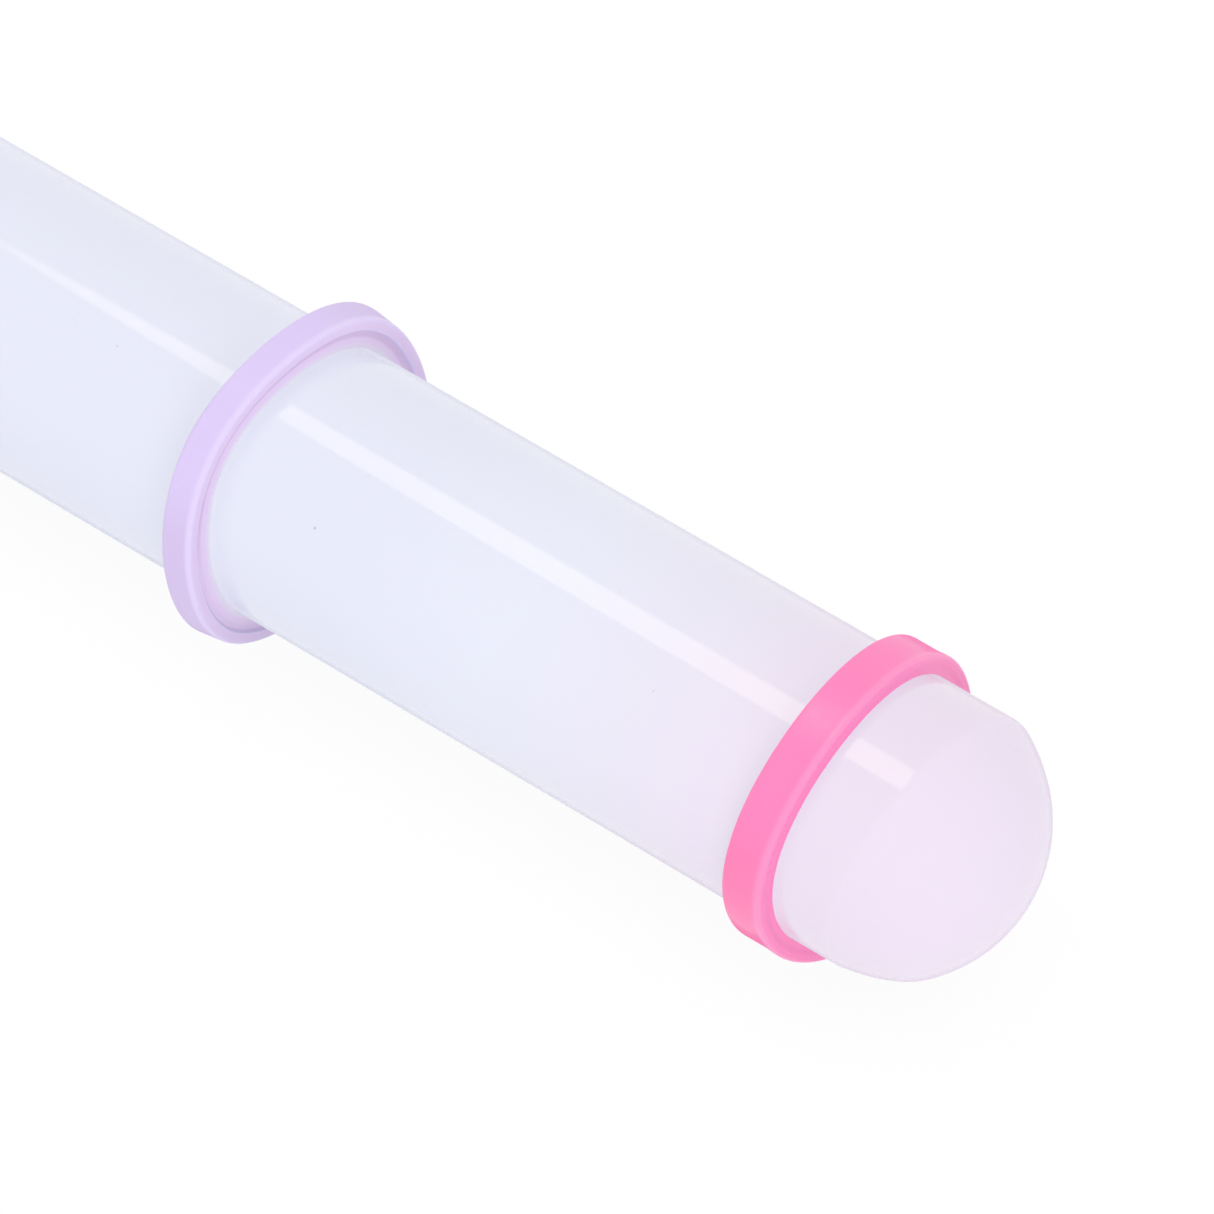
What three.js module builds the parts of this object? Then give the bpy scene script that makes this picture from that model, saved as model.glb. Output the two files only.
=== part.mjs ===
// A small rolling pin for sheet icing. A hollow white plastic roller is closed by a domed cap at each
// end. Four silicone rings are stretched over it: a thin pair near the ends and a thick pair further
// in. They run on the worktop and hold the roller off it, so they set the thickness of the sheet.
//
// Millimetres, +Z up. The roller's axis lies along X, and the origin is under the middle of its
// length, on the surface that the thick rings stand on. The rings slide along X.
import * as THREE from "three";

// Roller tube
const pinLength = 228.6;
const rollerDiameter = 25.4;
const rollerWall = 2.4;

// Domed end caps: the straight skirt behind the dome ends under the thin ring, which hides the seam
const domeHeight = 8.6;
const capSkirt = 9.2;
const capWall = 2;
const spigotLength = 8;
const spigotWall = 1.8;
const spigotLeadIn = 0.6;
const spigotClearance = 0.1;
const capSeam = 0.1;

// Fit of every ring on the roller
const ringBoreClearance = 0.1;

// Thin guide ring: heights are above the roller's surface, depths are back from the front plane
const thinGuideThickness = 1.95;
const thinRingWidth = 4.1;
const thinRingEndInset = 7.5;
const thinBandDip = 0.12;
const thinBeadDepth = 1.3;
const thinBeadCrestDepth = 0.5;
const thinFrontRound = 0.35;
const thinRearRound = 0.3;
const thinFaceReliefDepth = 0.15;
const thinFaceReliefHeight = 0.6;
const thinFaceReliefWidth = 0.7;

// Thick guide ring: a crown near the back, and a rounded lip round a shallow dish in the front face
const thickGuideThickness = 3.2;
const thickRingWidth = 4.3;
const thickRingEndInset = 68.4;
const thickLipDrop = 0.3;
const thickLipThickness = 1.1;
const thickLipRound = 0.3;
const thickDishDepth = 0.45;
const thickSleeveThickness = 0.5;
const thickSleeveSetback = 0.1;
const thickCrownDepth = 2.3;
const thickCrownLand = 0.6;
const thickHeelHeight = 0.35;
const thickHeelBulgeDepth = 3.3;
const thickHeelBulgeHeight = 2.25;

// Facets. A multiple of four puts a flat of every round at the bottom, the top and both sides.
const turnFacets = 24;
const domeFacets = 9;
const curveFacets = 3;

// Worked-out sizes
const rollerRadius = rollerDiameter / 2;
const tubeBoreRadius = rollerRadius - rollerWall;
const straightEnd = pinLength / 2 - domeHeight;
const halfTube = straightEnd - capSkirt;
const ringBoreRadius = rollerRadius + ringBoreClearance;
const thickCrownRadius = rollerRadius + thickGuideThickness;
const halfFacet = Math.PI / turnFacets;
// A flat of the faceted thick ring lies on the surface, so the axis is one flat's distance above it.
const axisHeight = thickCrownRadius * Math.cos(halfFacet);

const whitePlastic = new THREE.MeshStandardMaterial({ color: 0xe9ecf8, roughness: 0.18, metalness: 0 });
const pinkSilicone = new THREE.MeshStandardMaterial({ color: 0xfe8fc4, roughness: 0.4, metalness: 0 });
const lilacSilicone = new THREE.MeshStandardMaterial({ color: 0xdfcaf6, roughness: 0.4, metalness: 0 });

// Every piece is turned from an outline in (radius, distance along the axis).
function turned(name, points, material) {
  const geometry = new THREE.LatheGeometry(points, turnFacets, halfFacet);
  const mesh = new THREE.Mesh(geometry, material);
  mesh.name = name;
  return mesh;
}

// Arc of a sphere that meets radius `rim` at `base` and the axis at `base + height`, rim first.
function capArc(rim, height, base) {
  const sphereRadius = (rim * rim + height * height) / (2 * height);
  const centre = base + height - sphereRadius;
  const rimAngle = Math.atan2(base - centre, rim);
  const points = [];
  for (let step = 0; step < domeFacets; step += 1) {
    const angle = rimAngle + ((Math.PI / 2 - rimAngle) * step) / domeFacets;
    points.push(new THREE.Vector2(sphereRadius * Math.cos(angle), centre + sphereRadius * Math.sin(angle)));
  }
  points.push(new THREE.Vector2(0, base + height));
  return points;
}

function rollerTube() {
  const outline = [
    new THREE.Vector2(tubeBoreRadius, -halfTube),
    new THREE.Vector2(rollerRadius, -halfTube),
    new THREE.Vector2(rollerRadius, halfTube),
    new THREE.Vector2(tubeBoreRadius, halfTube),
    new THREE.Vector2(tubeBoreRadius, -halfTube),
  ];
  return turned("roller_tube", outline, whitePlastic);
}

// The cap's shoulder butts on the tube's end, and its hollow spigot is pressed into the bore.
function endCap(name) {
  const spigotRadius = tubeBoreRadius - spigotClearance;
  const spigotBoreRadius = spigotRadius - spigotWall;
  const shoulder = halfTube + capSeam;
  const spigotEnd = shoulder - spigotLength;
  const outside = capArc(rollerRadius, domeHeight, straightEnd);
  const inside = capArc(spigotBoreRadius, domeHeight - capWall, straightEnd);
  const outline = [
    ...inside.reverse(),
    new THREE.Vector2(spigotBoreRadius, spigotEnd),
    new THREE.Vector2(spigotRadius - spigotLeadIn, spigotEnd),
    new THREE.Vector2(spigotRadius, spigotEnd + spigotLeadIn),
    new THREE.Vector2(spigotRadius, shoulder),
    new THREE.Vector2(rollerRadius, shoulder),
    ...outside,
  ];
  return turned(name, outline, whitePlastic);
}

// Solid ring with a raised front bead, a faintly dished band and a shallow relief in its front face.
function thinRing(name) {
  const crest = rollerRadius + thinGuideThickness;
  const dish = crest - thinBandDip;
  const reliefTop = rollerRadius + thinFaceReliefHeight + thinFaceReliefWidth / 2;
  const reliefBottom = rollerRadius + thinFaceReliefHeight - thinFaceReliefWidth / 2;
  const rearBand = thinRearRound - thinRingWidth;
  const outline = new THREE.Path();
  outline.moveTo(ringBoreRadius, -thinRingWidth);
  outline.lineTo(dish - thinRearRound, -thinRingWidth);
  outline.quadraticCurveTo(dish, -thinRingWidth, crest - thinBandDip / 2, rearBand);
  outline.lineTo(dish, (rearBand - thinBeadDepth) / 2);
  outline.lineTo(dish, -thinBeadDepth);
  outline.lineTo(crest, -thinBeadCrestDepth);
  outline.quadraticCurveTo(crest, 0, crest - thinFrontRound, 0);
  outline.lineTo(reliefTop, 0);
  outline.lineTo((reliefTop + reliefBottom) / 2, -thinFaceReliefDepth);
  outline.lineTo(reliefBottom, 0);
  outline.lineTo(ringBoreRadius, 0);
  outline.lineTo(ringBoreRadius, -thinRingWidth);
  return turned(name, outline.getPoints(curveFacets), pinkSilicone);
}

// Crowned ring with a sloping heel at the back, a rounded lip at the front and a dish inside the lip.
function thickRing(name) {
  const lipRadius = thickCrownRadius - thickLipDrop;
  const dishRadius = lipRadius - thickLipThickness;
  const sleeveRadius = ringBoreRadius + thickSleeveThickness;
  const dishMiddle = (dishRadius + sleeveRadius) / 2;
  const crownRear = -(thickCrownDepth + thickCrownLand);
  const bulgeRadius = rollerRadius + thickHeelBulgeHeight;
  const heelRadius = rollerRadius + thickHeelHeight;
  const outline = new THREE.Path();
  outline.moveTo(ringBoreRadius, -thickRingWidth);
  outline.lineTo(heelRadius, -thickRingWidth);
  outline.quadraticCurveTo(bulgeRadius, -thickHeelBulgeDepth, thickCrownRadius, crownRear);
  outline.lineTo(thickCrownRadius, -thickCrownDepth);
  outline.lineTo(lipRadius, -thickLipRound);
  outline.quadraticCurveTo(lipRadius, 0, lipRadius - thickLipRound, 0);
  outline.lineTo(dishRadius, 0);
  outline.lineTo(dishRadius, -thickDishDepth);
  outline.quadraticCurveTo(dishMiddle, -thickDishDepth, sleeveRadius, -thickSleeveSetback);
  outline.lineTo(ringBoreRadius, -thickSleeveSetback);
  outline.lineTo(ringBoreRadius, -thickRingWidth);
  return turned(name, outline.getPoints(curveFacets), lilacSilicone);
}

const pin = new THREE.Group();
pin.add(rollerTube());

// Each end carries a cap and two rings. An end is drawn pointing up the lathe's own axis, and its
// group stands beside its mirror twin as the same pieces turned half a turn about Z.
for (const side of ["right", "left"]) {
  const end = new THREE.Group();
  end.rotation.z = side === "right" ? 0 : Math.PI;
  const cap = endCap(`end_cap_${side}`);
  const thin = thinRing(`thin_guide_ring_${side}`);
  const thick = thickRing(`thick_guide_ring_${side}`);
  thin.position.y = straightEnd - thinRingEndInset;
  thick.position.y = straightEnd - thickRingEndInset;
  end.add(cap, thin, thick);
  pin.add(end);
}

// The lathe's axis is Y: a quarter turn about Z lays it along X, with a flat of every ring downwards.
pin.rotation.z = -Math.PI / 2;
pin.position.z = axisHeight;

const rollingPin = new THREE.Group();
rollingPin.add(pin);

export default rollingPin;
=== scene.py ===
# A small rolling pin for sheet icing: a milky white plastic roller with domed ends, two thin pink
# silicone guide rings near the ends and two thick lilac ones further in.
import math

import bmesh
import bpy
from mathutils import Matrix, Vector


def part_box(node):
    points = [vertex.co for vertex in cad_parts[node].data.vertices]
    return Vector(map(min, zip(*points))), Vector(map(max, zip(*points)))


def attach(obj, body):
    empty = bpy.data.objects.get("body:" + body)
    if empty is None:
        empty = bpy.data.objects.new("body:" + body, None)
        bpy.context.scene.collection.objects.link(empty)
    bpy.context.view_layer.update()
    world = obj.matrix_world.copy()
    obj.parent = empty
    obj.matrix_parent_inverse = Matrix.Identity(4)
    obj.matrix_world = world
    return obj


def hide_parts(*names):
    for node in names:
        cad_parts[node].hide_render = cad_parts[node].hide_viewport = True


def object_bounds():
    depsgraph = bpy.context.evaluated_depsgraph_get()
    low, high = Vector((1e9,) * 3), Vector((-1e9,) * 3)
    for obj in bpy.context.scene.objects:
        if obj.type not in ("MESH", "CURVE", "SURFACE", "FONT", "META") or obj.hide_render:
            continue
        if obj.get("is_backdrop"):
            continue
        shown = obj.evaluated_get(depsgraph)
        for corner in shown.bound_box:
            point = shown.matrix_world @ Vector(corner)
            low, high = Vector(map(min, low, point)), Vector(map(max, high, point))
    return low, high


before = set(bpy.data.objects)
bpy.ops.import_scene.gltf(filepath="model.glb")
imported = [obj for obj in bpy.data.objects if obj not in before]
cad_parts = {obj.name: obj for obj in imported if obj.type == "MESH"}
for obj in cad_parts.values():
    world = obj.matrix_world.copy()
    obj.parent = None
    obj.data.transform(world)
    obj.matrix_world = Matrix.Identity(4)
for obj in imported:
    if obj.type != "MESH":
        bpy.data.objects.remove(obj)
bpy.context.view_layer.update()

MM = 0.001
SIDES = (("right", 1), ("left", -1))

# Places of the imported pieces
AXIS_HEIGHT = (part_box("roller_tube")[0].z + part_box("roller_tube")[1].z) / 2
TUBE_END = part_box("roller_tube")[1].x
CAP_INNER_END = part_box("end_cap_right")[0].x
PIN_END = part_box("end_cap_right")[1].x
THIN_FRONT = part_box("thin_guide_ring_right")[1].x
THICK_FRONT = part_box("thick_guide_ring_right")[1].x

# Roller and caps
ROLLER_RADIUS = 12.7 * MM
ROLLER_WALL = 2.4 * MM
DOME_HEIGHT = 8.6 * MM
CAP_SEAM = 0.1 * MM
CAP_WALL = 2 * MM
SPIGOT_CLEARANCE = 0.1 * MM
SPIGOT_WALL = 1.8 * MM
SPIGOT_LEAD_IN = 0.6 * MM
CREASE_ROUND = 0.5 * MM
EDGE_ROUND = 0.06 * MM
TUBE_BORE_RADIUS = ROLLER_RADIUS - ROLLER_WALL
SPIGOT_RADIUS = TUBE_BORE_RADIUS - SPIGOT_CLEARANCE
SPIGOT_BORE_RADIUS = SPIGOT_RADIUS - SPIGOT_WALL
CREASE = PIN_END - DOME_HEIGHT

# Rings: rows of depth back from the front plane, height above the roller and corner rounding, in mm
RING_CLEARANCE = 0.015 * MM
THIN_SECTION = (
    (4.11, 0.00, 0.04),
    (4.11, 1.78, 0.30),
    (2.50, 1.77, 0.50),
    (1.30, 1.77, 0.30),
    (0.52, 1.85, 0.20),
    (0.00, 1.84, 0.29),
    (0.05, 1.32, 0.06),
    (0.00, 1.10, 0.08),
    (0.12, 0.55, 0.15),
    (0.03, 0.14, 0.04),
    (0.00, 0.00, 0.02),
)
THICK_SECTION = (
    (4.28, 0.00, 0.04),
    (4.28, 0.35, 0.18),
    (3.45, 2.02, 0.80),
    (2.78, 3.16, 0.18),
    (2.45, 3.16, 0.14),
    (0.00, 2.84, 0.28),
    (0.00, 1.74, 0.10),
    (0.38, 1.58, 0.14),
    (0.34, 1.10, 0.30),
    (0.12, 0.30, 0.20),
    (0.12, 0.00, 0.02),
)

# A stretched ring sits a little askew. Its way out along the roller at an angle counted from the near
# side over the top is a mean, then a cosine and a sine of each whole multiple of that angle, in mm.
NEAR_SIDE_ANGLE = math.radians(125.6)
THIN_LEANS = {
    "right": (0.46, -0.64, -0.12, 0.41, 0.36),
    "left": (0.1, 0.2, 0.35, -0.15, 0.1),
}
THICK_LEANS = {
    "right": (0.30, -1.45, -0.08, 0.20, -0.24, -0.33, 0.34),
    "left": (0.0, -0.3, 0.6, 0.15, -0.1),
}

# A cap's crease wanders along the roller in the same way. The plastic on both sides of it follows by
# less and less, up to these reaches.
CREASE_LEAN = (-0.65, 0.0, 1.39, 0.35, 0.0)
CREASE_LEAN_REACH_INWARD = 8 * MM
CREASE_LEAN_REACH_OUTWARD = 3.8 * MM

# Fineness. The dome's first rows make way for the rounding of the crease, and a row of corners a little
# behind each rounded edge keeps its shading off the long straight stretch.
TURN_STEPS = 192
ROUND_SEGMENTS = 5
DOME_STEPS = 40
DOME_ROWS_IN_CREASE = 3
SHADING_HOLD = 0.5 * MM
ON_AXIS_REACH = 0.06 * MM
MERGE_REACH = 0.001 * MM
SHARP_ANGLE = math.radians(32)

# Camera: its direction from the pin, its lens, and the point that it looks at
VIEW_AZIMUTH = math.radians(38.205)
VIEW_ELEVATION = math.radians(47.415)
VIEW_DISTANCE = 1013.3 * MM
VIEW_LENS = 351.1
VIEW_SENSOR_WIDTH = 36
VIEW_BEHIND_CREASE = 38.99 * MM
VIEW_ASIDE = 4.525 * MM

# Light: a white fill from all sides, an overhead lamp that draws the long highlight, and a front lamp
# that shows in no reflection
WHITE = (1, 1, 1, 1)
FILL_STRENGTH = 0.956
OVERHEAD_PLACE = Vector((-173, -18, 675)) * MM
OVERHEAD_TOWARD = Vector((0.4016, -0.0026, -0.9158))
OVERHEAD_TURN = math.radians(-42)
OVERHEAD_LENGTH = 370 * MM
OVERHEAD_WIDTH = 176 * MM
OVERHEAD_WATTS = 0.33
OVERHEAD_COLOUR = (1, 0.864, 0.6)
FRONT_PLACE = Vector((1.5, -1.2, 0.45))
FRONT_SIZE = 1.4
FRONT_WATTS = 7.5

# Floor: paint that takes the shadow, and a glow that brings the mix of the two up to white
FLOOR_SIZE = 12.0
FLOOR_PAINT = (0.9, 0.9, 0.9, 1)
FLOOR_GLOW = 1.02
FLOOR_SHADOW_SHARE = 0.12

# Noises: scale, detail and, where it isn't a half, roughness. Most of a noise's values lie in the
# narrow spread, and nearly all in the wide one.
PLASTIC_CLOUDS = (38, 3)
PLASTIC_SMEAR = (90, 2)
PLASTIC_RIPPLE = (260, 2)
SILICONE_MOTTLE = (420, 4, 0.6)
SILICONE_SMEAR = (900, 3)
SILICONE_GRAIN = (2600, 3, 0.6)
NARROW_SPREAD = (0.3, 0.7)
WIDE_SPREAD = (0.2, 0.8)

# Roughness rises where a surface is seen edge on, between these values of the facing
FACING_BLEND = 0.5
EDGE_ON_FACING = (0.72, 0.88)

# Plastic. Colours are linear. The tone takes on a painted pink glow of light from the pink rings towards
# the ends: place along the axis in mm, colour.
PLASTIC_TONES_AND_PAINTED_GLOW = (
    (50, (0.752, 0.772, 0.903)),
    (66, (0.772, 0.790, 0.913)),
    (81, (0.787, 0.764, 0.885)),
    (97, (0.803, 0.709, 0.848)),
)
TONE_DRIFT_SHARE = 0.03
PLASTIC_CLOUD = (0.74, 0.76, 0.86)
PLASTIC_CLOUD_SHARE = 0.06
PLASTIC_ROUGHNESS = (0.06, 0.08)
PLASTIC_ROUGHNESS_EDGE_ON = 0.6
PLASTIC_IOR = 1.49
PLASTIC_SCATTER_SHARE = 0.3
PLASTIC_SCATTER = (1.0, 0.9, 1.0)
PLASTIC_RIPPLE_HEIGHT = 0.002 * MM

# The dome's tone with its painted pink glow, and how far below the roller's radius it starts and is full
DOME_TONE_WITH_PAINTED_GLOW = (0.793, 0.704, 0.842)
DOME_GLOW_TONE_START = 0.02 * MM
DOME_GLOW_TONE_FULL = 1.2 * MM

# Dark specks in the plastic: place along the axis in mm, angle from +Y in degrees, radius in mm, depth
SPECKS = (
    (46.2, 139.5, 0.20, 0.50),
    (81.4, 128, 0.15, 0.30),
    (21.2, 117, 0.16, 0.30),
    (73.6, 100.5, 0.14, 0.15),
    (48.1, 111.5, 0.14, 0.15),
    (62.9, -164, 0.15, 0.15),
)
SPECK_COLOUR = (0.38, 0.35, 0.40)
SPECK_CORE_SHARE = 0.3

# Fine dust: one grain in each chosen cell of a pattern, its outer and inner radius as shares of a cell
DUST_COLOUR = (0.45, 0.45, 0.50)
DUST_CELLS_PER_METRE = 110.0
DUST_EDGE_SHARE = 0.010
DUST_CORE_SHARE = 0.004
DUST_EMPTY_SHARE = 0.75
DUST_DEPTH = 0.2

# Silicone. A finish is roughness, specular level, share of scattered light, and how far red, green and
# blue scatter in mm.
SILICONE_IOR = 1.45
SILICONE_MOTTLE_SHARE = 0.25
SILICONE_ROUGHNESS_SWING = 0.04
SILICONE_ROUGHNESS_EDGE_ON = 0.8
SILICONE_GRAIN_HEIGHT = 0.012 * MM
SILICONE_GRAIN_STRENGTH = 0.5
PINK_FINISH = (0.33, 1.0, 0.1, (0.3, 0.1, 0.2))
LILAC_FINISH = (0.45, 0.5, 0.25, (0.36, 0.28, 0.4))

# Lines that run round a ring, painted highlights and painted shade: depth, height and reach in mm, then
# strength. A fade is where a change of colour starts and where it is full, in mm.
LINE_CORE_SHARE = 0.25
PINK = (0.985, 0.202, 0.503)
PINK_MOTTLE = (0.95, 0.185, 0.461)
# Painted shade, darker low down on the band
PINK_PAINTED_SHADE = (0.98, 0.173, 0.441)
PINK_PAINTED_SHADE_FADE = (10, 2)
PINK_BAND_FADE = (0.7, 1.0)
# A painted highlight along the front bead
PINK_BEAD_HIGHLIGHT = (0.99, 0.275, 0.56)
PINK_BEAD_HIGHLIGHT_LINE = (0.2, 1.85, 0.6, 0.8)
LILAC = (0.692, 0.58, 0.896)
LILAC_MOTTLE = (0.655, 0.547, 0.87)
# Painted shade, darker low down and on the far side
LILAC_LOW_AND_FAR_SHADE = (0.65, 0.532, 0.818)
LILAC_LOW_SHADE_FADE = (9.5, 4)
LILAC_FAR_SHADE_FADE = (4, 12)
LILAC_FAR_SHADE_SHARE = 0.9
LILAC_FACE = (0.742, 0.594, 0.849)
LILAC_FACE_FADE = (0.8, 0.5)
LILAC_LIP_FADE = (2.8, 2.4)
# Painted highlights along the lip's outer and inner front edges
LILAC_EDGE_HIGHLIGHT = (0.75, 0.65, 0.925)
LILAC_LIP_HIGHLIGHT_LINE = (0.15, 2.85, 0.55, 0.8)
LILAC_RIM_HIGHLIGHT_LINE = (0.0, 1.70, 0.28, 0.7)
LILAC_SHADE = (0.611, 0.454, 0.704)
LILAC_DISH_LINE = (0.36, 1.25, 0.45, 0.8)
LILAC_DISH_FADE = (-1, 6)
LILAC_DISH_LEAST_SHARE = 0.3
# A painted glow of light from the white roller at the inner edge
LILAC_INNER_GLOW = (0.768, 0.722, 0.843)
LILAC_INNER_GLOW_FADE = (0.7, 0.05)
LILAC_INNER_GLOW_SHARE = 0.9


def turned(name, outline):
    """Turns rows of place along the axis, radius and corner rounding about the roller's axis."""
    shape = bmesh.new()
    corners = [shape.verts.new((x, 0, AXIS_HEIGHT + radius)) for x, radius, rounding in outline]
    shape.faces.new(corners)
    for size in sorted({rounding for x, radius, rounding in outline if rounding}):
        bmesh.ops.bevel(
            shape,
            geom=[corner for corner, row in zip(corners, outline) if row[2] == size],
            offset=size,
            segments=ROUND_SEGMENTS,
            profile=0.5,
            material=-1,
            affect="VERTICES",
        )
    bmesh.ops.delete(shape, geom=shape.faces[:], context="FACES_ONLY")
    on_axis = [
        edge for edge in shape.edges
        if all(corner.co.z - AXIS_HEIGHT < ON_AXIS_REACH for corner in edge.verts)
    ]
    bmesh.ops.delete(shape, geom=on_axis, context="EDGES")
    bmesh.ops.spin(
        shape,
        geom=shape.verts[:] + shape.edges[:],
        cent=(0, 0, AXIS_HEIGHT),
        axis=(1, 0, 0),
        angle=math.tau,
        steps=TURN_STEPS,
        use_merge=True,
    )
    bmesh.ops.remove_doubles(shape, verts=shape.verts, dist=MERGE_REACH)
    bmesh.ops.recalc_face_normals(shape, faces=shape.faces)
    return finished(name, shape)


def finished(name, shape):
    """Makes a bmesh into a smooth piece of the scene, with its sharp edges kept."""
    mesh = bpy.data.meshes.new(name)
    shape.to_mesh(mesh)
    shape.free()
    mesh.shade_smooth()
    mesh.set_sharp_from_angle(angle=SHARP_ANGLE)
    piece = bpy.data.objects.new(name, mesh)
    bpy.context.scene.collection.objects.link(piece)
    return piece


def dress(piece, node, body, material):
    """Puts a piece in its node's place, on the node's body."""
    piece.data.materials.append(material)
    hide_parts(node)
    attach(piece, body)


# Camera

def add_camera():
    camera = bpy.data.objects.new("camera", bpy.data.cameras.new("camera"))
    bpy.context.scene.collection.objects.link(camera)
    back = Vector((
        math.sin(VIEW_AZIMUTH) * math.cos(VIEW_ELEVATION),
        -math.cos(VIEW_AZIMUTH) * math.cos(VIEW_ELEVATION),
        math.sin(VIEW_ELEVATION),
    ))
    look = Vector((CREASE - VIEW_BEHIND_CREASE, VIEW_ASIDE, AXIS_HEIGHT))
    camera.location = look + back * VIEW_DISTANCE
    camera.rotation_euler = back.to_track_quat("Z", "Y").to_euler()
    camera.data.lens = VIEW_LENS
    camera.data.sensor_width = VIEW_SENSOR_WIDTH
    bpy.context.scene.camera = camera


# Materials

class Nodes:
    """A material's node tree, with short ways to add a node and join sockets."""

    def __init__(self, name):
        self.material = bpy.data.materials.new(name)
        self.material.use_nodes = True
        self.tree = self.material.node_tree
        self.shader = self.tree.nodes["Principled BSDF"]
        self.place = self.add("ShaderNodeTexCoord").outputs["Object"]

    def add(self, kind, inputs=(), **settings):
        node = self.tree.nodes.new(kind)
        for key, value in settings.items():
            setattr(node, key, value)
        for key, value in dict(inputs).items():
            self.fill(node.inputs[key], value)
        return node

    def fill(self, socket, value):
        """Joins a socket to another one, or sets it to a number or colour."""
        if isinstance(value, bpy.types.NodeSocket):
            self.tree.links.new(value, socket)
        else:
            socket.default_value = value

    def set(self, **values):
        for key, value in values.items():
            self.fill(self.shader.inputs[key.replace("_", " ")], value)

    def math(self, operation, first, second=0.0):
        return self.add("ShaderNodeMath", {0: first, 1: second}, operation=operation).outputs[0]

    def vector(self, operation, first, second=(0, 0, 0)):
        return self.add("ShaderNodeVectorMath", {0: first, 1: second}, operation=operation)

    def coordinate(self, letter, source=None):
        return self.add("ShaderNodeSeparateXYZ", {0: source or self.place}).outputs[letter]

    def noise(self, scale, detail, roughness=0.5):
        inputs = {"Vector": self.place, "Scale": scale, "Detail": detail, "Roughness": roughness}
        return self.add("ShaderNodeTexNoise", inputs).outputs["Fac"]

    def remap(self, value, low, high, to_low=0.0, to_high=1.0, smooth=False):
        inputs = {"Value": value, "From Min": low, "From Max": high, "To Min": to_low, "To Max": to_high}
        kind = "SMOOTHSTEP" if smooth else "LINEAR"
        return self.add("ShaderNodeMapRange", inputs, interpolation_type=kind).outputs["Result"]

    def fade(self, value, places, to_low=0.0, to_high=1.0):
        """Smooth change between two places, which are given in mm."""
        start, full = places
        return self.remap(value, start * MM, full * MM, to_low, to_high, smooth=True)

    def mix(self, factor, first, second):
        node = self.add("ShaderNodeMix", data_type="RGBA")
        for key, value in (("Factor_Float", factor), ("A_Color", first), ("B_Color", second)):
            socket = next(s for s in node.inputs if s.identifier == key)
            self.fill(socket, value if isinstance(value, bpy.types.NodeSocket) else (*value, 1))
        return next(s for s in node.outputs if s.identifier == "Result_Color")

    def radius(self):
        """Distance from the roller's axis."""
        centred = self.vector("SUBTRACT", self.place, (0, 0, AXIS_HEIGHT)).outputs[0]
        across = self.vector("MULTIPLY", centred, (0, 1, 1)).outputs[0]
        return self.vector("LENGTH", across).outputs["Value"]

    def above_axis(self):
        return self.math("SUBTRACT", self.coordinate("Z"), AXIS_HEIGHT)

    def section(self):
        """Depth back from a ring's front plane, height above the roller, and the two as one place."""
        depth = self.add("ShaderNodeAttribute", attribute_name="depth").outputs["Fac"]
        height = self.math("SUBTRACT", self.radius(), ROLLER_RADIUS)
        place = self.add("ShaderNodeCombineXYZ", {"X": depth, "Y": height}).outputs[0]
        return depth, height, place

    def line(self, place, depth, height, reach, strength):
        """A round-edged line that runs round a ring at a depth and a height of its section, in mm."""
        gap = self.vector("DISTANCE", place, (depth * MM, height * MM, 0)).outputs["Value"]
        return self.fade(gap, (reach, LINE_CORE_SHARE * reach), 0.0, strength)

    def gloss(self, roughness, edge_on):
        """Roughness that rises where the surface is seen edge on."""
        facing = self.add("ShaderNodeLayerWeight", {"Blend": FACING_BLEND}).outputs["Facing"]
        edge = self.remap(facing, *EDGE_ON_FACING, smooth=True)
        low = self.math("MULTIPLY", roughness, self.math("SUBTRACT", 1.0, edge))
        return self.math("ADD", low, self.math("MULTIPLY", edge, edge_on))

    def bump(self, height, distance, strength=1.0):
        node = self.add("ShaderNodeBump", {"Height": height, "Distance": distance, "Strength": strength})
        self.set(Normal=node.outputs["Normal"])


def plastic_tone_and_painted_glow(nodes, clouds):
    """From cool to a painted pink glow towards the ends, drifting with the clouds, then the dome's
    glowing tone.
    """
    along = nodes.math("ABSOLUTE", nodes.coordinate("X"))
    drift = nodes.remap(clouds, *WIDE_SPREAD, -TONE_DRIFT_SHARE, TONE_DRIFT_SHARE)
    ramp = nodes.add(
        "ShaderNodeValToRGB",
        {"Fac": nodes.math("ADD", nodes.math("DIVIDE", along, PIN_END), drift)},
    )
    # The ramp's own black and white stops make way for the tones
    stops = ramp.color_ramp.elements
    stops.remove(stops[0])
    for place, tone in PLASTIC_TONES_AND_PAINTED_GLOW:
        stops.new(place * MM / PIN_END).color = (*tone, 1)
    stops.remove(stops[len(stops) - 1])
    start = ROLLER_RADIUS - DOME_GLOW_TONE_START
    full = ROLLER_RADIUS - DOME_GLOW_TONE_FULL
    # The dome takes its tone with the painted pink glow
    dome = nodes.remap(nodes.radius(), start, full, smooth=True)
    return nodes.mix(dome, ramp.outputs["Color"], DOME_TONE_WITH_PAINTED_GLOW)


def add_specks(nodes, colour):
    for x, angle, radius, depth in SPECKS:
        turn = math.radians(angle)
        point = (x * MM, ROLLER_RADIUS * math.cos(turn), AXIS_HEIGHT + ROLLER_RADIUS * math.sin(turn))
        gap = nodes.vector("DISTANCE", nodes.place, point).outputs["Value"]
        spot = nodes.fade(gap, (radius, SPECK_CORE_SHARE * radius), 0.0, depth)
        colour = nodes.mix(spot, colour, SPECK_COLOUR)
    return colour


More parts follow.
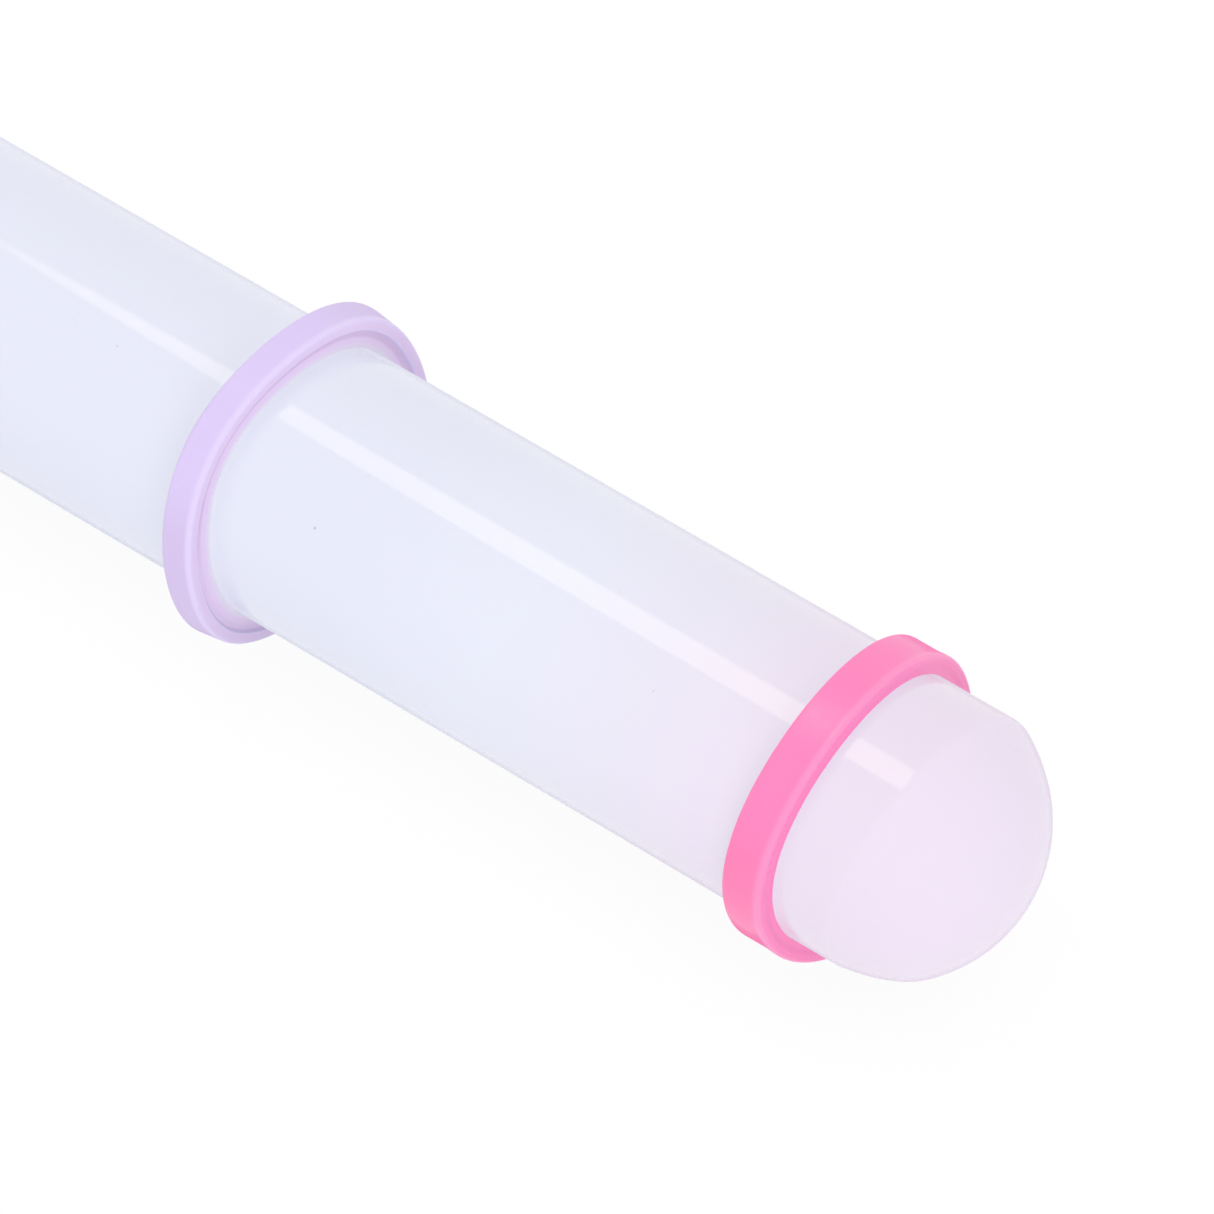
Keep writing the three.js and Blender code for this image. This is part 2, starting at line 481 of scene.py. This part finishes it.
def add_dust(nodes, colour):
    inputs = {"Vector": nodes.place, "Scale": DUST_CELLS_PER_METRE}
    cells = nodes.add("ShaderNodeTexVoronoi", inputs)
    near = nodes.remap(cells.outputs["Distance"], DUST_EDGE_SHARE, DUST_CORE_SHARE, smooth=True)
    drawn = nodes.coordinate("X", cells.outputs["Color"])
    chosen = nodes.math("GREATER_THAN", drawn, DUST_EMPTY_SHARE)
    dust = nodes.math("MULTIPLY", nodes.math("MULTIPLY", near, chosen), DUST_DEPTH)
    return nodes.mix(dust, colour, DUST_COLOUR)


def milky_plastic():
    nodes = Nodes("milky_white_plastic")
    clouds = nodes.noise(*PLASTIC_CLOUDS)
    colour = plastic_tone_and_painted_glow(nodes, clouds)
    cloud_share = nodes.remap(clouds, *NARROW_SPREAD, 0.0, PLASTIC_CLOUD_SHARE)
    colour = nodes.mix(cloud_share, colour, PLASTIC_CLOUD)
    colour = add_dust(nodes, add_specks(nodes, colour))
    roughness = nodes.remap(nodes.noise(*PLASTIC_SMEAR), *NARROW_SPREAD, *PLASTIC_ROUGHNESS)
    nodes.set(
        Base_Color=colour,
        Roughness=nodes.gloss(roughness, PLASTIC_ROUGHNESS_EDGE_ON),
        IOR=PLASTIC_IOR,
        Subsurface_Weight=PLASTIC_SCATTER_SHARE,
        Subsurface_Radius=PLASTIC_SCATTER,
        Subsurface_Scale=MM,
    )
    nodes.bump(nodes.noise(*PLASTIC_RIPPLE), PLASTIC_RIPPLE_HEIGHT)
    return nodes.material


def silicone(name, colour_of, roughness, specular, scatter_share, scatter):
    """Satin silicone with mottle and grain. colour_of makes its colour from its nodes and mottle."""
    nodes = Nodes(name)
    mottle = nodes.remap(nodes.noise(*SILICONE_MOTTLE), *NARROW_SPREAD, 0.0, SILICONE_MOTTLE_SHARE)
    low = roughness - SILICONE_ROUGHNESS_SWING
    high = roughness + SILICONE_ROUGHNESS_SWING
    smear = nodes.remap(nodes.noise(*SILICONE_SMEAR), *NARROW_SPREAD, low, high)
    nodes.set(
        Base_Color=colour_of(nodes, mottle),
        Roughness=nodes.gloss(smear, SILICONE_ROUGHNESS_EDGE_ON),
        IOR=SILICONE_IOR,
        Specular_IOR_Level=specular,
        Subsurface_Weight=scatter_share,
        Subsurface_Radius=scatter,
        Subsurface_Scale=MM,
    )
    nodes.bump(nodes.noise(*SILICONE_GRAIN), SILICONE_GRAIN_HEIGHT, SILICONE_GRAIN_STRENGTH)
    return nodes.material


def pink_colour(nodes, mottle):
    """Painted shade low down on the band, and a painted highlight along the bead at the front edge."""
    depth, height, place = nodes.section()
    colour = nodes.mix(mottle, PINK, PINK_MOTTLE)
    # Painted shade, darker low down on the band
    low = nodes.fade(nodes.above_axis(), PINK_PAINTED_SHADE_FADE)
    band = nodes.fade(depth, PINK_BAND_FADE)
    colour = nodes.mix(nodes.math("MULTIPLY", low, band), colour, PINK_PAINTED_SHADE)
    # Painted highlight along the front bead
    return nodes.mix(nodes.line(place, *PINK_BEAD_HIGHLIGHT_LINE), colour, PINK_BEAD_HIGHLIGHT)


def lilac_colour(nodes, mottle):
    """Painted shade low down, on the far side and in the dish; painted lip highlights; a pale painted
    inner glow.
    """
    depth, height, place = nodes.section()
    colour = nodes.mix(mottle, LILAC, LILAC_MOTTLE)
    above = nodes.above_axis()
    # Painted shade, darker low down and on the far side
    low = nodes.fade(above, LILAC_LOW_SHADE_FADE)
    far = nodes.fade(nodes.coordinate("Y"), LILAC_FAR_SHADE_FADE, 0.0, LILAC_FAR_SHADE_SHARE)
    colour = nodes.mix(nodes.math("MAXIMUM", low, far), colour, LILAC_LOW_AND_FAR_SHADE)
    front = nodes.fade(depth, LILAC_FACE_FADE)
    below_lip = nodes.fade(height, LILAC_LIP_FADE)
    colour = nodes.mix(nodes.math("MULTIPLY", front, below_lip), colour, LILAC_FACE)
    # Painted highlights along the lip's outer and inner front edges
    colour = nodes.mix(nodes.line(place, *LILAC_LIP_HIGHLIGHT_LINE), colour, LILAC_EDGE_HIGHLIGHT)
    colour = nodes.mix(nodes.line(place, *LILAC_RIM_HIGHLIGHT_LINE), colour, LILAC_EDGE_HIGHLIGHT)
    upper = nodes.fade(above, LILAC_DISH_FADE, LILAC_DISH_LEAST_SHARE, 1.0)
    shade = nodes.math("MULTIPLY", nodes.line(place, *LILAC_DISH_LINE), upper)
    colour = nodes.mix(shade, colour, LILAC_SHADE)
    # A painted glow of light from the white roller at the inner edge
    pale = nodes.fade(height, LILAC_INNER_GLOW_FADE, 0.0, LILAC_INNER_GLOW_SHARE)
    return nodes.mix(nodes.math("MULTIPLY", front, pale), colour, LILAC_INNER_GLOW)


# Pieces

def dome_arc(rim, height, base, side):
    """Rows along the arc of a sphere that meets radius rim at base and the axis a height further out."""
    sphere = (rim**2 + height**2) / (2 * height)
    centre = base + height - sphere
    start = math.atan2(base - centre, rim)
    rows = []
    for step in range(DOME_STEPS + 1):
        angle = start + (math.pi / 2 - start) * step / DOME_STEPS
        rows.append((side * (centre + sphere * math.sin(angle)), sphere * math.cos(angle), 0.0))
    rows[-1] = (side * (base + height), 0.0, 0.0)
    return rows


def roller_tube():
    outline = [
        (-TUBE_END, TUBE_BORE_RADIUS, 0.0),
        (-TUBE_END, ROLLER_RADIUS, EDGE_ROUND),
        (SHADING_HOLD - TUBE_END, ROLLER_RADIUS, 0.0),
        (TUBE_END - SHADING_HOLD, ROLLER_RADIUS, 0.0),
        (TUBE_END, ROLLER_RADIUS, EDGE_ROUND),
        (TUBE_END, TUBE_BORE_RADIUS, 0.0),
    ]
    return turned("tube", outline)


def end_cap(name, side):
    shoulder = TUBE_END + CAP_SEAM
    inside = dome_arc(SPIGOT_BORE_RADIUS, DOME_HEIGHT - CAP_WALL, CREASE, side)
    outside = dome_arc(ROLLER_RADIUS, DOME_HEIGHT, CREASE, side)
    outline = [
        *inside[::-1],
        (side * CAP_INNER_END, SPIGOT_BORE_RADIUS, 0.0),
        (side * CAP_INNER_END, SPIGOT_RADIUS - SPIGOT_LEAD_IN, 0.0),
        (side * (CAP_INNER_END + SPIGOT_LEAD_IN), SPIGOT_RADIUS, 0.0),
        (side * shoulder, SPIGOT_RADIUS, 0.0),
        (side * shoulder, ROLLER_RADIUS, EDGE_ROUND),
        (side * (shoulder + SHADING_HOLD), ROLLER_RADIUS, 0.0),
        (side * (CREASE - 2 * CREASE_ROUND), ROLLER_RADIUS, 0.0),
        (side * CREASE, ROLLER_RADIUS, CREASE_ROUND),
        *outside[DOME_ROWS_IN_CREASE:],
    ]
    piece = turned(name, outline)
    lean_crease(piece, side)
    return piece


def lean_crease(piece, side):
    """Moves a cap's plastic along the roller by the crease's lean, less with distance from the crease."""
    for vertex in piece.data.vertices:
        beyond = side * vertex.co.x - CREASE
        reach = CREASE_LEAN_REACH_OUTWARD if beyond > 0 else CREASE_LEAN_REACH_INWARD
        fade = 1 - abs(beyond) / reach
        if fade > 0:
            vertex.co.x += side * lean_at(CREASE_LEAN, turn_of(vertex.co)) * fade**2


def turn_of(place):
    """Angle of a place round the roller, from the near side over the top."""
    return NEAR_SIDE_ANGLE - math.atan2(place.z - AXIS_HEIGHT, place.y)


def lean_at(terms, turn):
    """Way out along the roller at an angle, from a lean's mean and its pairs of waves."""
    way = terms[0]
    for wave, (cosine, sine) in enumerate(zip(terms[1::2], terms[2::2]), start=1):
        way += cosine * math.cos(wave * turn) + sine * math.sin(wave * turn)
    return way * MM


def ring(name, section, front, side, lean):
    """A guide ring from its section, with every slice moved along the roller by its lean."""
    outline = [
        (side * (front - depth * MM), ROLLER_RADIUS + max(height * MM, RING_CLEARANCE), rounding * MM)
        for depth, height, rounding in section
    ]
    piece = turned(name, outline)
    depth = piece.data.attributes.new("depth", "FLOAT", "POINT")
    for vertex, place in zip(piece.data.vertices, depth.data):
        place.value = front - side * vertex.co.x
        vertex.co.x += side * lean_at(lean, turn_of(vertex.co))
    # It casts the lamps' shadows, but holds no soft light back from the roller beside it
    piece.visible_diffuse = False
    return piece


# Surroundings

def seen_directly(tree):
    """One for camera, glossy and transmission rays, nought for the rest."""
    path = tree.nodes.new("ShaderNodeLightPath")
    total = path.outputs["Is Camera Ray"]
    for other in ("Is Glossy Ray", "Is Transmission Ray"):
        node = tree.nodes.new("ShaderNodeMath")
        node.operation = "MAXIMUM"
        tree.links.new(total, node.inputs[0])
        tree.links.new(path.outputs[other], node.inputs[1])
        total = node.outputs[0]
    return total


def add_world():
    """A plain white surrounding, whose light on the object is the fill."""
    world = bpy.data.worlds.new("studio")
    bpy.context.scene.world = world
    world.use_nodes = True
    tree = world.node_tree
    fill = tree.nodes["Background"]
    fill.inputs["Strength"].default_value = FILL_STRENGTH
    fill.inputs["Color"].default_value = WHITE
    white = tree.nodes.new("ShaderNodeBackground")
    white.inputs["Color"].default_value = WHITE
    choice = tree.nodes.new("ShaderNodeMixShader")
    tree.links.new(seen_directly(tree), choice.inputs[0])
    tree.links.new(fill.outputs[0], choice.inputs[1])
    tree.links.new(white.outputs[0], choice.inputs[2])
    tree.links.new(choice.outputs[0], tree.nodes["World Output"].inputs["Surface"])


def add_floor(height):
    shape = bmesh.new()
    bmesh.ops.create_grid(shape, x_segments=1, y_segments=1, size=FLOOR_SIZE / 2)
    bmesh.ops.translate(shape, verts=shape.verts, vec=(0, 0, height))
    floor = finished("floor", shape)
    material = bpy.data.materials.new("pale_floor")
    material.use_nodes = True
    tree = material.node_tree
    tree.nodes.remove(tree.nodes["Principled BSDF"])
    paint = tree.nodes.new("ShaderNodeBsdfDiffuse")
    paint.inputs["Color"].default_value = FLOOR_PAINT
    glow = tree.nodes.new("ShaderNodeEmission")
    glow.inputs["Strength"].default_value = FLOOR_GLOW
    share = tree.nodes.new("ShaderNodeMath")
    share.operation = "MULTIPLY"
    share.inputs[1].default_value = 1 - FLOOR_SHADOW_SHARE
    tree.links.new(seen_directly(tree), share.inputs[0])
    blend = tree.nodes.new("ShaderNodeMixShader")
    tree.links.new(share.outputs[0], blend.inputs[0])
    tree.links.new(paint.outputs[0], blend.inputs[1])
    tree.links.new(glow.outputs[0], blend.inputs[2])
    tree.links.new(blend.outputs[0], tree.nodes["Material Output"].inputs["Surface"])
    floor.data.materials.append(material)
    floor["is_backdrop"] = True


def add_lamp(name, place, toward, turn, length, width, watts):
    """An oval lamp that shines along a direction, turned about it from the roller's axis."""
    lamp = bpy.data.objects.new(name, bpy.data.lights.new(name, "AREA"))
    bpy.context.scene.collection.objects.link(lamp)
    lamp.data.shape = "ELLIPSE"
    lamp.data.size = length
    lamp.data.size_y = width
    lamp.data.energy = watts
    back = -toward.normalized()
    side = Vector((1, 0, 0))
    side = (side - back * side.dot(back)).normalized()
    side.rotate(Matrix.Rotation(turn, 3, back))
    basis = Matrix((side, back.cross(side), back)).transposed()
    lamp.matrix_world = Matrix.Translation(place) @ basis.to_4x4()
    return lamp


def add_lamps():
    overhead = add_lamp(
        "overhead_lamp",
        OVERHEAD_PLACE,
        OVERHEAD_TOWARD,
        OVERHEAD_TURN,
        OVERHEAD_LENGTH,
        OVERHEAD_WIDTH,
        OVERHEAD_WATTS,
    )
    overhead.data.color = OVERHEAD_COLOUR
    front = add_lamp("front_lamp", FRONT_PLACE, -FRONT_PLACE, 0, FRONT_SIZE, FRONT_SIZE, FRONT_WATTS)
    front.visible_glossy = False


# The whole

bpy.context.scene.view_settings.view_transform = "Standard"
add_camera()

plastic = milky_plastic()
pink = silicone("pink_silicone", pink_colour, *PINK_FINISH)
lilac = silicone("lilac_silicone", lilac_colour, *LILAC_FINISH)

dress(roller_tube(), "roller_tube", "roller", plastic)
for side_name, side in SIDES:
    cap = end_cap(f"cap_{side_name}", side)
    dress(cap, f"end_cap_{side_name}", "roller", plastic)

for kind, section, front, leans, slot, material in (
    ("thin", THIN_SECTION, THIN_FRONT, THIN_LEANS, "pink_silicone", pink),
    ("thick", THICK_SECTION, THICK_FRONT, THICK_LEANS, "lilac_silicone", lilac),
):
    for side_name, side in SIDES:
        piece = ring(f"{kind}_ring_{side_name}_skin", section, front, side, leans[side_name])
        dress(piece, f"{kind}_guide_ring_{side_name}", f"{kind}_ring_{side_name}", material)

add_floor(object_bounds()[0].z)
add_world()
add_lamps()
